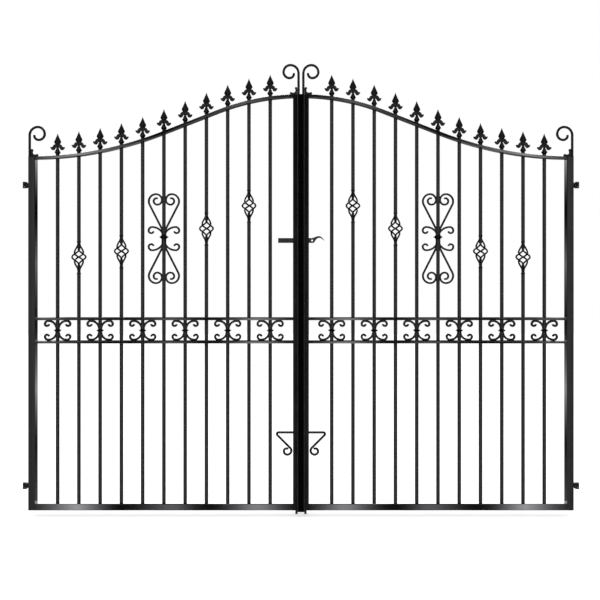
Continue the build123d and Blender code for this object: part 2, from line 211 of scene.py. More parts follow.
# Merges doubles, turns the faces outwards and shades them smooth up to an angle
def tidyMesh(mesh, sharpAngle):
    work = bmesh.new()
    work.from_mesh(mesh)
    bmesh.ops.remove_doubles(work, verts=work.verts, dist=doubleGap)
    bmesh.ops.recalc_face_normals(work, faces=work.faces)
    for face in work.faces:
        face.smooth = True
    work.to_mesh(mesh)
    work.free()
    mesh.set_sharp_from_angle(angle=radians(sharpAngle))


# Shows a mesh in place of CAD nodes. It was drawn for the left leaf and is mirrored by hand -1.
def addPiece(mesh, name, hand, body, replaced, slot):
    mesh.transform(Matrix.Translation((midX, 0, baseZ)) @ Matrix.Diagonal((hand, 1, 1, 1)))
    if hand < 0:
        mesh.flip_normals()
    mesh.materials.clear()
    mesh.materials.append(finishes[slot])
    piece = bpy.data.objects.new(name, mesh)
    bpy.context.scene.collection.objects.link(piece)
    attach(piece, body)
    if replaced:
        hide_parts(*replaced)
    return piece


# The same for a piece that both leaves have
def addBoth(mesh, node, slot, rides="leaf", replaces=True):
    for side, hand in hands.items():
        replaced = [f"{side}_{node}"] if replaces else []
        addPiece(mesh.copy(), f"{side}_{node}_painted", hand, f"{side}_{rides}", replaced, slot)
    print("made", node)


# A mesh of rings joined one to the next; closed joins the last to the first, else they are capped
def loftRings(rings, closed=False):
    work = bmesh.new()
    loops = [[work.verts.new(point) for point in ring] for ring in rings]
    pairs = list(zip(loops, loops[1:]))
    if closed:
        pairs.append((loops[-1], loops[0]))
    for low, high in pairs:
        for here in range(len(low)):
            after = (here + 1) % len(low)
            work.faces.new((low[here], low[after], high[after], high[here]))
    if not closed:
        work.faces.new(list(reversed(loops[0])))
        work.faces.new(loops[-1])
    mesh = bpy.data.meshes.new("loft")
    work.to_mesh(mesh)
    work.free()
    return mesh


# One level ring with a power near 1 for a diamond section and 2 for an ellipse
def ring(height, halfWidth, halfSide, power=2.0, count=24):
    points = []
    for step in range(count):
        angle = 2 * pi * step / count
        across, along = cos(angle), sin(angle)
        reach = (abs(across) ** power + abs(along) ** power) ** (-1 / power)
        points.append((halfWidth * reach * across, halfSide * reach * along, height))
    return points


# A flat plate with rounded rims, from closed outlines in the gate's plane
def plate(outlines, thick, rounding):
    curve = bpy.data.curves.new("plate", "CURVE")
    curve.dimensions = "2D"
    curve.fill_mode = "BOTH"
    curve.extrude = thick / 2 - rounding
    curve.bevel_depth = rounding
    curve.bevel_resolution = 2
    curve.offset = -rounding
    for outline in outlines:
        spline = curve.splines.new("POLY")
        spline.points.add(len(outline) - 1)
        for point, (x, z) in zip(spline.points, outline):
            point.co = (x, z, 0, 1)
        spline.use_cyclic_u = True
    mesh = bakeMesh(bpy.data.objects.new("plate", curve))
    mesh.transform(Matrix.Rotation(pi / 2, 4, "X"))
    tidyMesh(mesh, 12)  # flat faces stay flat beside the rounded rims
    return mesh


def rectangle(left, right, low, high):
    return [(left, low), (right, low), (right, high), (left, high)]


arcStep = 8  # degrees


# Points on an arc about a centre, with angles in degrees
def arc(centre, radius, start, end):
    count = max(2, ceil(abs(end - start) / arcStep))
    points = []
    for step in range(count + 1):
        angle = radians(start + (end - start) * step / count)
        points.append((centre[0] + radius * cos(angle), centre[1] + radius * sin(angle)))
    return points


# A path in the gate's plane of straight runs and tangent arcs, with lengths in mm: (length,) is
# a run and (radius, angle) a turn
def bentPath(start, heading, moves):
    points = [Vector(start)]
    for move in moves:
        here = points[-1]
        radius = move[0] * mm
        if len(move) == 1:
            points.append(here + radius * Vector((cos(radians(heading)), sin(radians(heading)))))
            continue
        turn = move[1]
        sense = 1 if turn > 0 else -1
        across = radians(heading + 90 * sense)
        centre = here + radius * Vector((cos(across), sin(across)))
        start = heading - 90 * sense
        points += [Vector(point) for point in arc(centre, radius, start, start + turn)[1:]]
        heading += turn
    return [Vector((point.x, 0, point.y)) for point in points]


# Guide lines for Geometry Nodes. Each has a girth, 1 along the bar and less towards its far end.
def guideLines(paths, taper=0.0, endGirth=1.0):
    mesh = bpy.data.meshes.new("guides")
    vertices, edges, girths = [], [], []
    for path in paths:
        first = len(vertices)
        left = sum((b - a).length for a, b in zip(path, path[1:]))
        for number, point in enumerate(path):
            if number:
                left -= (point - path[number - 1]).length
                edges.append((first + number - 1, first + number))
            vertices.append(point)
            girths.append(min(1.0, endGirth + (1 - endGirth) * left / taper) if taper else 1.0)
    mesh.from_pydata(vertices, edges, [])
    mesh.attributes.new("girth", "FLOAT", "POINT").data.foreach_set("value", girths)
    return bpy.data.objects.new("guides", mesh)


# A Geometry Nodes tree with named inputs, given as (name, kind of socket, first value)
def newTree(name, inputs):
    tree = bpy.data.node_groups.new(name, "GeometryNodeTree")
    tree.interface.new_socket("Geometry", in_out="INPUT", socket_type="NodeSocketGeometry")
    for label, kind, value in inputs:
        socket = tree.interface.new_socket(label, in_out="INPUT", socket_type="NodeSocket" + kind)
        if value is not None:
            socket.default_value = value
    tree.interface.new_socket("Geometry", in_out="OUTPUT", socket_type="NodeSocketGeometry")
    return tree, tree.nodes.new("NodeGroupInput").outputs


# The end that every tree has: real geometry, shaded smooth, with the paint on it
def endTree(tree, geometry, finish):
    real = addNode(tree, "GeometryNodeRealizeInstances", {"Geometry": geometry})
    smooth = addNode(tree, "GeometryNodeSetShadeSmooth", {"Geometry": real.outputs[0]})
    painted = addNode(
        tree, "GeometryNodeSetMaterial", {"Geometry": smooth.outputs[0], "Material": finish}
    )
    addNode(tree, "NodeGroupOutput", {"Geometry": painted.outputs[0]})


# Bar stock that follows guide lines: round, or square with rounded edges
def barStockTree(square):
    tree, given = newTree("square_bar_stock" if square else "round_bar_stock", [
        ("Width", "Float", 10 * mm), ("Edge Radius", "Float", 1 * mm), ("Sides", "Int", 24),
        ("Finish", "Material", None)])
    line = addNode(tree, "GeometryNodeMeshToCurve", {"Mesh": given["Geometry"]})
    if square:
        corners = addNode(
            tree, "GeometryNodeCurvePrimitiveQuadrilateral",
            {"Width": given["Width"], "Height": given["Width"]},
        )
        section = addNode(
            tree, "GeometryNodeFilletCurve",
            {"Curve": corners.outputs[0], "Count": 3, "Radius": given["Edge Radius"]}, mode="POLY",
        )
    else:
        radius = addNode(
            tree, "ShaderNodeMath", {0: given["Width"], 1: 0.5}, operation="MULTIPLY"
        )
        section = addNode(
            tree, "GeometryNodeCurvePrimitiveCircle",
            {"Resolution": given["Sides"], "Radius": radius.outputs[0]},
        )
    girth = addNode(tree, "GeometryNodeInputNamedAttribute", {"Name": "girth"}, data_type="FLOAT")
    bar = addNode(
        tree, "GeometryNodeCurveToMesh",
        {"Curve": line.outputs[0], "Profile Curve": section.outputs[0],
         "Scale": girth.outputs["Attribute"], "Fill Caps": True},
    )
    endTree(tree, bar.outputs[0], given["Finish"])
    return tree


# A pattern set on each guide point, turned about the y axis by the point's tilt
def setOnPointsTree():
    tree, given = newTree("pattern_on_points", [
        ("Pattern", "Object", None), ("Finish", "Material", None)])
    pattern = addNode(tree, "GeometryNodeObjectInfo", {"Object": given["Pattern"]})
    tilt = addNode(tree, "GeometryNodeInputNamedAttribute", {"Name": "tilt"}, data_type="FLOAT")
    turn = addNode(tree, "ShaderNodeCombineXYZ", {"Y": tilt.outputs["Attribute"]})
    placed = addNode(
        tree, "GeometryNodeInstanceOnPoints",
        {"Points": given["Geometry"], "Instance": pattern.outputs["Geometry"],
         "Rotation": turn.outputs[0]},
    )
    endTree(tree, placed.outputs[0], given["Finish"])
    return tree


# Runs a tree on an object, with its named inputs set by socket identifier
def runTree(obj, tree, values):
    modifier = obj.modifiers.new("shape", "NODES")
    for item in tree.interface.items_tree:
        if item.item_type == "SOCKET" and item.in_out == "INPUT" and item.name in values:
            values[item.identifier] = values[item.name]
    modifier.node_group = tree
    for key, value in values.items():
        if key in modifier.keys():
            modifier[key] = value
    return bakeMesh(obj)


roundStock = barStockTree(square=False)
squareStock = barStockTree(square=True)
setOnPoints = setOnPointsTree()


def barStock(paths, tree, width, edgeRadius=1 * mm, sides=24, taper=0.0, endGirth=1.0, slot=None):
    values = {"Width": width, "Edge Radius": edgeRadius, "Sides": sides, "Finish": finishes[slot]}
    mesh = runTree(guideLines(paths, taper, endGirth), tree, values)
    tidyMesh(mesh, 40)
    return mesh


# One pattern on each (x, y, z, tilt) place
def onPoints(patternMesh, places, slot, sharpAngle=40):
    pattern = bpy.data.objects.new("pattern", patternMesh)
    bpy.context.scene.collection.objects.link(pattern)
    mesh = bpy.data.meshes.new("places")
    mesh.from_pydata([place[:3] for place in places], [], [])
    tilts = [place[3] for place in places]
    mesh.attributes.new("tilt", "FLOAT", "POINT").data.foreach_set("value", tilts)
    values = {"Pattern": pattern, "Finish": finishes[slot]}
    result = runTree(bpy.data.objects.new("places", mesh), setOnPoints, values)
    bpy.data.objects.remove(pattern)
    tidyMesh(result, sharpAngle)
    return result


# Mirrors a path in the line x = 0 or the level z = 0
def mirroredPath(path, x=1, z=1):
    return [Vector((point.x * x, 0, point.z * z)) for point in path]


# Frame of box section and flat bar
sweep = {
    "thick": 12 * mm, "rise": 273.6 * mm, "start": 10 * mm, "steepness": 1.64, "lowerShare": 0.61,
    "stations": 64, "boxEdge": 2.5 * mm, "flatEdge": 0.8 * mm, "topEdge": 1.5 * mm,
}
centreHeight = outerHeight + sweep["rise"]
sweepRun = leafOuter - sweep["start"]
sweepAngle = sweep["steepness"] * atan2(sweep["rise"], sweepRun)
sweepStraight = sweep["rise"] / tan(sweepAngle / 2) - sweepRun
sweepRadii = (sweepRun - sweepStraight * cos(sweepAngle)) / sin(sweepAngle)
lowerRadius = sweepRadii * sweep["lowerShare"]
upperRadius = sweepRadii - lowerRadius


# Height of the top rail's upper edge at a distance from the leaf's outer edge, and its slope
def railTop(reach):
    along = reach - sweep["start"]
    fromEnd = leafOuter - reach
    lowerRun = lowerRadius * sin(sweepAngle)
    if along < 0:
        return outerHeight, 0.0
    if along < lowerRun:
        lift = lowerRadius - sqrt(lowerRadius ** 2 - along ** 2)
        return outerHeight + lift, asin(along / lowerRadius)
    if fromEnd < upperRadius * sin(sweepAngle):
        drop = upperRadius - sqrt(upperRadius ** 2 - fromEnd ** 2)
        return centreHeight - drop, asin(fromEnd / upperRadius)
    lowerRise = lowerRadius * (1 - cos(sweepAngle))
    return outerHeight + lowerRise + (along - lowerRun) * tan(sweepAngle), sweepAngle


def boxMember(node, edge):
    low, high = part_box(f"left_{node}")
    outline = rectangle(low.x - midX, high.x - midX, low.z - baseZ, high.z - baseZ)
    addBoth(plate([outline], high.y - low.y, edge), node, "gloss_black_frame")


def topRail():
    upper, lower = [], []
    first, last = memberFace, leafOuter - leafInner - memberFace
    for step in range(sweep["stations"] + 1):
        reach = first + (last - first) * step / sweep["stations"]
        height, slope = railTop(reach)
        upper.append((reach - leafOuter, height))
        lower.append((reach - leafOuter, height - sweep["thick"] / cos(slope)))
    mesh = plate([lower + upper[::-1]], 2 * halfDepth, sweep["topEdge"])
    addBoth(mesh, "top_rail", "gloss_black_frame")


for member in ("outer_stile", "meeting_stile", "bottom_rail"):
    boxMember(member, sweep["boxEdge"])
for member in ("upper_mid_rail", "lower_mid_rail"):
    boxMember(member, sweep["flatEdge"])
topRail()


# Infill bars, some of them cut for a basket
bars = {
    "count": 11, "outerMargin": 124 * mm, "innerMargin": 131 * mm, "radius": 8 * mm, "rise": 4 * mm,
    "basketLength": 141 * mm,
    # heights of the baskets' middles above the band
    "baskets": {1: 265 * mm, 3: 291 * mm, 7: 391 * mm, 9: 492 * mm},
}
barRun = leafOuter - leafInner - bars["outerMargin"] - bars["innerMargin"]
barReach = [bars["outerMargin"] + barRun * n / (bars["count"] - 1) for n in range(bars["count"])]
barX = [reach - leafOuter for reach in barReach]
barTop = [railTop(reach)[0] + bars["rise"] for reach in barReach]
basketAt = {number: bandTop + lift for number, lift in bars["baskets"].items()}


def infillBars():
    paths = []
    for number in range(bars["count"]):
        spans = [(memberFace, barTop[number])]
        if number in basketAt:
            low = basketAt[number] - bars["basketLength"] / 2
            spans = [(memberFace, low), (low + bars["basketLength"], barTop[number])]
        x = barX[number]
        paths += [[Vector((x, 0, low)), Vector((x, 0, high))] for low, high in spans]
    mesh = barStock(paths, roundStock, 2 * bars["radius"], sides=32, slot="gloss_black_bars")
    addBoth(mesh, "infill_bars", "gloss_black_bars")


infillBars()


# Small fillet welds where each bar meets a rail, painted over with it
welds = {
    "leg": 2.6 * mm, "ripple": 0.14, "beads": 14, "sunk": 0.4 * mm, "steps": 5, "corners": 56,
    "underShare": 0.97,  # how far in the hidden ring under the rim stands
}


def weldRing(upwards):
    rings = []
    radius = bars["radius"]
    for step in range(welds["steps"] + 1):
        angle = pi / 2 * step / welds["steps"]
        points = []
        for spot in range(welds["corners"]):
            around = 2 * pi * spot / welds["corners"]
            leg = welds["leg"] * (1 + welds["ripple"] * sin(around * welds["beads"]))
            out = radius - welds["sunk"] + leg * (1 - sin(angle))
            up = leg * (1 - cos(angle)) - welds["sunk"]
            points.append((out * cos(around), out * sin(around), up * upwards))
        rings.append(points)
    share = welds["underShare"]
    rings.append([(share * x, share * y, -welds["sunk"] * upwards) for x, y, z in rings[-1]])
    return loftRings(rings, closed=True)


def weldBeads():
    railLevels = []
    for node in ("upper_mid_rail", "lower_mid_rail"):
        low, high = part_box(f"left_{node}")
        railLevels.append((low.z - baseZ, -1))
        railLevels.append((high.z - baseZ, 1))
    railLevels.append((memberFace, 1))
    meshes = []
    for upwards in (1, -1):
        places = []
        for number in range(bars["count"]):
            for level, faces in railLevels:
                if faces == upwards:
                    places.append((barX[number], 0, level, 0.0))
            height, slope = railTop(barReach[number])
            if upwards < 0:
                under = height - sweep["thick"] / cos(slope)
                places.append((barX[number], 0, under, -slope))
        meshes.append(onPoints(weldRing(upwards), places, "gloss_black_frame", 60))
    addBoth(joined(meshes), "weld_beads", "gloss_black_frame", replaces=False)


weldBeads()


# Joins overlapping forms into one skin and softens it, as in a casting or forging
def fused(mesh, voxel, smoothing, coat=0.0):
    obj = bpy.data.objects.new("fused", mesh)
    remesh = obj.modifiers.new("skin", "REMESH")
    remesh.mode = "VOXEL"
    remesh.voxel_size = voxel
    remesh.use_smooth_shade = True
    soften = obj.modifiers.new("soften", "SMOOTH")
    soften.factor = 0.5
    soften.iterations = smoothing
    if coat:
        paint = obj.modifiers.new("coat", "DISPLACE")
        paint.mid_level = 0.0
        paint.strength = coat
    return bakeMesh(obj)


# Spear finial: turned foot and neck, flattened blade, and an arm that arches out on each side
finial = {
    "armThick": 10 * mm, "armRounding": 2.4 * mm, "voxel": 1.2 * mm, "softening": 2,
    "foot": [(0, 8), (3.6, 8), (5.5, 9.2), (9, 12.4), (12, 13.4), (15.5, 12), (22, 8.4), (31, 5),
             (38, 5), (44, 5.5)],
    "blade": [(38, 5, 4.6), (43, 7, 5.6), (48.5, 11.5, 7.4), (54, 15.4, 9.2), (57.5, 16.4, 9.6),
              (62, 14.8, 8.8), (70, 10.9, 6.8), (80, 6.4, 4.2), (89, 2.6, 2), (95.5, 0.7, 0.7)],
    "armOuter": [(2.8, 44.6), (8, 46.2), (13.8, 46.8), (18.4, 43.8), (21.4, 38.8), (23.4, 35.2),
                 (25.5, 34.4), (28, 35.2), (31.8, 35.4)],
    "armUnder": [(31.4, 29.8), (28.6, 25.6), (24.4, 21.8), (19.6, 20.4), (14.2, 21.8), (11, 26.2),
                 (8.6, 30.8), (5.6, 33.6), (2.8, 35)],
}


def finialPattern():
    foot = loftRings([ring(h * mm, r * mm, r * mm) for h, r in finial["foot"]])
    blade = loftRings([ring(h * mm, w * mm, d * mm, power=1.15) for h, w, d in finial["blade"]])
    arms = []
    for sense in (1, -1):
        outline = [(x * mm * sense, z * mm) for x, z in finial["armOuter"] + finial["armUnder"]]
        arms.append(plate([outline], finial["armThick"], finial["armRounding"]))
    whole = joined([foot, blade, *arms])
    return fused(whole, finial["voxel"], finial["softening"])


def finials():
    places = [(x, 0, top, 0.0) for x, top in zip(barX, barTop)]
    mesh = onPoints(finialPattern(), places, "gloss_black_castings", 180)
    addBoth(mesh, "finials", "gloss_black_castings")


finials()


# Twisted baskets: four wires leave a cup on each bar end as a tight bundle, swell, and turn most
# where they stand wide. Each basket is turned a little to its own side. The wires' radius and turn
# are given at heights in mm from their widest place, which lies a little above the middle.
basket = {
    "wire": 7.6 * mm, "stations": 64, "lift": 3, "turns": {1: 15, 3: 12, 7: 6, 9: 3},
    "radius": [(0, 29.3), (4, 28.9), (8, 27.4), (12, 25.2), (16, 22.8), (24, 18.7), (33, 14.8),
               (41, 10.8), (46, 7.8), (50, 5.8), (55, 4.3), (60, 3.6), (72, 3.4)],
    "turn": [(0, 0), (14, 45), (24, 75), (30, 90), (36, 100), (44, 107), (72, 112)],
    "cup": [(-4, 8.15), (-1, 8.9), (1, 9), (3.5, 8.4), (6, 7.2), (8.5, 6.4)],
}


# The value between a profile's (reach, value) stops
def between(stops, reach):
    for (low, here), (high, there) in zip(stops, stops[1:]):
        if reach <= high:
            return here + (there - here) * (reach - low) / (high - low)
    return stops[-1][1]


def twistedWire(x, middle, start):
    reach = bars["basketLength"] / mm / 2 - basket["cup"][-2][0]
    points = []
    for station in range(basket["stations"] + 1):
        height = reach * (2 * station / basket["stations"] - 1)
        swollen = height - basket["lift"]
        turned = copysign(between(basket["turn"], abs(swollen)), swollen)
        angle = radians(start - turned)
        out = between(basket["radius"], abs(swollen)) * mm
        points.append(Vector((x + out * cos(angle), out * sin(angle), middle + height * mm)))
    return points


def baskets():
    slot = "gloss_black_castings"
    wires = []
    for number, middle in basketAt.items():
        starts = [basket["turns"][number] + 90 * wire for wire in range(4)]
        wires += [twistedWire(barX[number], middle, start) for start in starts]
    cups = []
    for sense in (1, -1):
        cup = loftRings([ring(h * mm * sense, r * mm, r * mm) for h, r in basket["cup"]])
        cup.transform(Matrix.Translation((0, 0, -bars["basketLength"] / 2 * sense)))
        cups.append(cup)
    places = [(barX[number], 0, height, 0.0) for number, height in basketAt.items()]
    lines = barStock(wires, roundStock, basket["wire"], sides=14, slot=slot)
    addBoth(joined([lines, onPoints(joined(cups), places, slot, 60)]), "baskets", slot)


baskets()


# A ring with a pointed rim, slightly rounded, that clasps a bar
def pointedCollar(rimRadius, height):
    inner, half, soft = bars["radius"], height / 2, 1.3 * mm
    profile = [(inner, -half), (inner + soft, -half), (rimRadius - soft, -soft), (rimRadius, 0),
               (rimRadius - soft, soft), (inner + soft, half), (inner, half)]
    return loftRings([ring(z, r, r, count=32) for r, z in profile], closed=True)


# Cast heart panel on the middle bar, in four like quarters
heart = {
    "bar": 5, "heightShare": 0.4243, "wire": 8.7 * mm, "edge": 1.8 * mm, "sunk": 2 * mm,
    "sideFoot": 30.5, "sideBend": 30, "sideRun": 119, "lean": 27,
    "collarRadius": 21 * mm, "collarHeight": 20 * mm, "collarLift": 7.5 * mm,
    "spiral": (32, 26, 20.5, 16, 12.5), "tail": (10, -35),
    "small": [(18.7,), (20, 38), (53, 52), (15.5, 90), (11.5, 90), (10.5, 80)],
}


def heartScrolls():
    slot = "gloss_black_castings"
    lean = heart["lean"]
    side = [(heart["sideFoot"],), (heart["sideBend"], lean), (heart["sideRun"],)]
    spiral = [(radius, -90) for radius in heart["spiral"]]
    moves = [*side, (heart["spiral"][0], -lean), *spiral, heart["tail"]]
    start = (heart["sunk"] - bars["radius"], 0)
    quarter = [bentPath(start, 90, moves), bentPath(start, 90, heart["small"])]
    paths = []
    for x in (1, -1):
        for z in (1, -1):
            paths += [mirroredPath(path, x, z) for path in quarter]
    lines = barStock(
        paths, squareStock, heart["wire"], heart["edge"], taper=5 * mm, endGirth=0.75, slot=slot
    )
    collar = pointedCollar(heart["collarRadius"], heart["collarHeight"])
    collar.transform(Matrix.Translation((0, 0, heart["collarLift"])))
    tidyMesh(collar, 30)
    panel = joined([lines, collar])
    room = railTop(barReach[heart["bar"]])[0] - bandTop
    height = bandTop + heart["heightShare"] * room
    panel.transform(Matrix.Translation((barX[heart["bar"]], 0, height)))
    addBoth(panel, "heart_scrolls", slot)


heartScrolls()


# Back-to-back scrolls around every second bar in the band
band = {
    "wire": 9.6 * mm, "edge": 1.8 * mm, "bars": (0, 2, 4, 6, 8, 10), "collarRadius": 17 * mm,
    "collarHeight": 11 * mm, "sunk": 3.8 * mm, "run": 6,
    "curls": ((2.6,), (13.5, 90), (8.5, 90), (10, 80)),
}
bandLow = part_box("left_lower_mid_rail")[1].z - baseZ
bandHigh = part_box("left_upper_mid_rail")[0].z - baseZ


def bandScrolls():
    slot = "gloss_black_castings"
    arm = (bandHigh - bandLow) / 2 / mm - band["wire"] / 2 / mm - band["run"]
    moves = [(band["run"],), (arm, 90), *band["curls"]]
    half = bentPath((band["sunk"] - bars["radius"], 0), 90, moves)
    paths = [mirroredPath(half, x, z) for x in (1, -1) for z in (1, -1)]
    lines = barStock(
        paths, squareStock, band["wire"], band["edge"], taper=5 * mm, endGirth=0.85, slot=slot
    )
    collar = pointedCollar(band["collarRadius"], band["collarHeight"])
    pattern = joined([lines, collar])
    middle = (bandLow + bandHigh) / 2
    places = [(barX[number], 0, middle, 0.0) for number in band["bars"]]
    addBoth(onPoints(pattern, places, slot, 30), "band_scrolls", slot)


bandScrolls()


# Curled rods and small cast brackets on the top corners
corner = {
    "rod": 11 * mm, "run": 94, "curls": (35.6, 30.5, 26.5, 19), "tail": 3, "leg": 33, "web": 8.4,
    "fillet": 9, "knob": 5.4, "depth": 8 * mm, "rounding": 1.6 * mm, "seat": 0.2,
}
rodHalf = corner["rod"] / 2
cornerDepth = Matrix.Translation((0, rodHalf - halfDepth, 0))  # flush with the leaf's front


def cornerScroll(node, rodX, foot, turn):
    curls = [(radius, turn * 90) for radius in corner["curls"]]
    moves = [(corner["run"],), *curls, (corner["tail"],)]
    path = bentPath((rodX, foot), 90, moves)
    mesh = barStock(
        [path], roundStock, corner["rod"], taper=3 * mm, endGirth=0.8, slot="gloss_black_castings"
    )
    mesh.transform(cornerDepth)
    addBoth(mesh, node, "gloss_black_castings")


def cornerBrackets():
    leg, web, knob, fillet = (corner[key] for key in ("leg", "web", "knob", "fillet"))
    meet = 180 - degrees(asin((web - knob) / knob))  # where a knob's circle runs into its leg
    foot = [(0, 0), (leg - knob, 0), *arc((leg - knob, knob), knob, -90, meet)]
    hollow = arc((web + fillet, web + fillet), fillet, -90, -180)
    upper = [(z, x) for x, z in reversed(foot[1:])]
    outline = foot + hollow + upper
    rodSide = corner["rod"] / mm + corner["seat"]
    centreFoot = meetingHeight / mm + corner["seat"]
    brackets = []
    for x, z, sense in (
        (rodSide - leafOuter / mm, outerHeight / mm + corner["seat"], 1),
        (-leafInner / mm - rodSide, centreFoot, -1),
    ):
        placed = [((x + sense * px) * mm, (z + pz) * mm) for px, pz in outline]
        brackets.append(plate([placed], corner["depth"], corner["rounding"]))
    mesh = joined(brackets)
    mesh.transform(cornerDepth)
    addBoth(mesh, "corner_brackets", "gloss_black_castings")


cornerScroll("outer_corner_scroll", rodHalf - leafOuter, outerHeight, -1)
cornerScroll("centre_corner_scroll", -leafInner - rodHalf, meetingHeight, 1)
cornerBrackets()


# Drop bolts: a round rod with a bent handle that ends in a curl
bolt = {
    "rod": 10.4 * mm, "drop": 31.5, "handleHeight": 331.5, "bend": 12, "handleRun": 68.3,
    "standOff": 12 * mm,
    "curl": [(7, 135), (81,), (17, -45), (18, -90), (15.5, -90), (12, -90), (12, -40)],
}


def dropBolt():
    rise = bolt["handleHeight"] - bolt["bend"] + bolt["drop"]
    moves = [(rise,), (bolt["bend"], 90), (bolt["handleRun"],), *bolt["curl"]]
    path = bentPath((-stileCentre, -bolt["drop"] * mm), 90, moves)
    slot = "gloss_black_hardware"
    mesh = barStock([path], roundStock, bolt["rod"], taper=4 * mm, endGirth=0.6, slot=slot)
    mesh.transform(Matrix.Translation((0, halfDepth + bolt["standOff"], 0)))
    addBoth(mesh, "drop_bolt", slot, rides="bolt")


dropBolt()


# Hinges, latch and guides: the CAD solids with the soft edges of forged, painted steel
hardware = {
    "left_leaf": ["left_hinge_eyes", "left_bolt_guides", "latch_keeper"],
    "right_leaf": ["right_hinge_eyes", "right_bolt_guides", "latch_pivot"],
    "latch": ["latch_lever"],
    "pillar_brackets": [
        f"{side}_{level}_hinge_bracket" for side in hands for level in ("lower", "upper")
    ],
}
forging = {
    "voxel": 0.75 * mm, "softening": 2,
    # paint fills out what softening takes off the lever's tail; pins and bores are worn slack
    "coats": {"latch_lever": 0.9 * mm, "hinge_bracket": -0.15 * mm, "bolt_guides": -0.45 * mm},
}


def hardwareCopies():
    for body, nodeNames in hardware.items():
        for node in nodeNames:
            mesh = cadNodes[node].data.copy()
            tidyMesh(mesh, 180)
            coat = sum(amount for part, amount in forging["coats"].items() if part in node)
            mesh = fused(mesh, forging["voxel"], forging["softening"], coat)
            mesh.transform(Matrix.Translation((-midX, 0, -baseZ)))
            addPiece(mesh, f"{node}_painted", 1, body, [node], "gloss_black_hardware")
    print("made the hinges, latch and guides")


hardwareCopies()


stripEdge = 1.1 * mm


def coverStrip():
    outline = rectangle(
        stripLow.x - midX, stripHigh.x - midX, stripLow.z - baseZ, stripHigh.z - baseZ
    )
    mesh = plate([outline], stripHigh.y - stripLow.y, stripEdge)
    mesh.transform(Matrix.Translation((0, (stripLow.y + stripHigh.y) / 2, 0)))
    addPiece(mesh, "cover_strip_painted", 1, "right_leaf", ["cover_strip"], "black_strip")


coverStrip()


# Studio: a pale floor at the bolts' tips and a soft wrap of light, whose tall strips in front and
# level bands behind show in the paint. The camera and clear glass see white. Each profile has
# (angle in degrees, level) stops, with levels as the paint shows them, seen straight on.
studio = {
    "floorSize": 14.0, "floorColour": "#f4f4f4", "floorGlow": 0.45, "ambient": 0.85,
    "stripTint": "#fcfaff", "paintMirror": 0.04,
    "lampWide": 3.0, "lampDeep": 2.0, "lampPower": 60, "lampTilt": 22, "lampFront": 1.5,
    "lampHeight": 3.6,
    # angles from straight in front, for what is mirrored low, level and high, with the angles above
    # the horizon between which each gives way to the next
    "lowFront": [(0, 0.02), (3.2, 0.55), (6.75, 0.01), (9.4, 0.38), (13.2, 0.01), (16.1, 0.62),
                 (19.05, 0.16), (30, 0.14), (75, 0.14), (100, 0.04), (162, 0.03), (163.2, 0.08),
                 (167, 0.1), (171.5, 0.155), (175, 0.12), (178, 0.09), (180, 0.09)],
    "levelFront": [(0, 0.02), (3.2, 0.53), (6.75, 0.01), (9.4, 0.36), (13.2, 0.01), (18.7, 0.36),
                   (19.05, 0.16), (30, 0.14), (75, 0.14), (100, 0.04), (162, 0.03), (163.2, 0.08),
                   (167, 0.1), (171.5, 0.155), (175, 0.12), (178, 0.09), (180, 0.09)],
    "highFront": [(0, 0.02), (4, 0.34), (10.3, 0.02), (16.1, 0.57), (18.8, 0.28), (19.1, 0.16),
                  (30, 0.14), (75, 0.14), (100, 0.02), (180, 0.02)],
    "risesTo": {"levelFront": (-14, -9), "highFront": (-1, 5)},
    # angles above the horizon, then from straight in front, of the bands that the stiles mirror
    "flankBands": [(-30, 0.12), (-17.6, 0.13), (-13.6, 0.05), (-10, 0.26), (-5.4, 0.04),
                   (-1.3, 0.19), (2.5, 0.005), (6.2, 0.29), (12, 0.05), (30, 0.05)],
    "flankReach": [(140, 0), (158.5, 0), (160.2, 1), (161.8, 1), (163.2, 0), (180, 0)],
    "overhead": [(13, 0), (16, 0.4), (18, 0.6), (24, 0.6), (32, 0.05), (90, 0)],
    "overheadReach": [(100, 0), (130, 1)],
}


# Light along an angle in radians, from the stops of a profile
def lightProfile(tree, angle, stops, power=2.2):
    first, last = stops[0][0], stops[-1][0]
    share = addNode(
        tree, "ShaderNodeMapRange",
        {"Value": angle, "From Min": radians(first), "From Max": radians(last)},
    )
    ramp = addNode(tree, "ShaderNodeValToRGB", {"Fac": share.outputs["Result"]})
    elements = ramp.color_ramp.elements
    for spot, (degree, level) in zip(list(elements), (stops[0], stops[-1])):
        spot.color = (level, level, level, 1)
    for degree, level in stops[1:-1]:
        elements.new((degree - first) / (last - first)).color = (level, level, level, 1)
    return addNode(
        tree, "ShaderNodeMath", {0: ramp.outputs["Color"], 1: power}, operation="POWER"
    ).outputs[0]


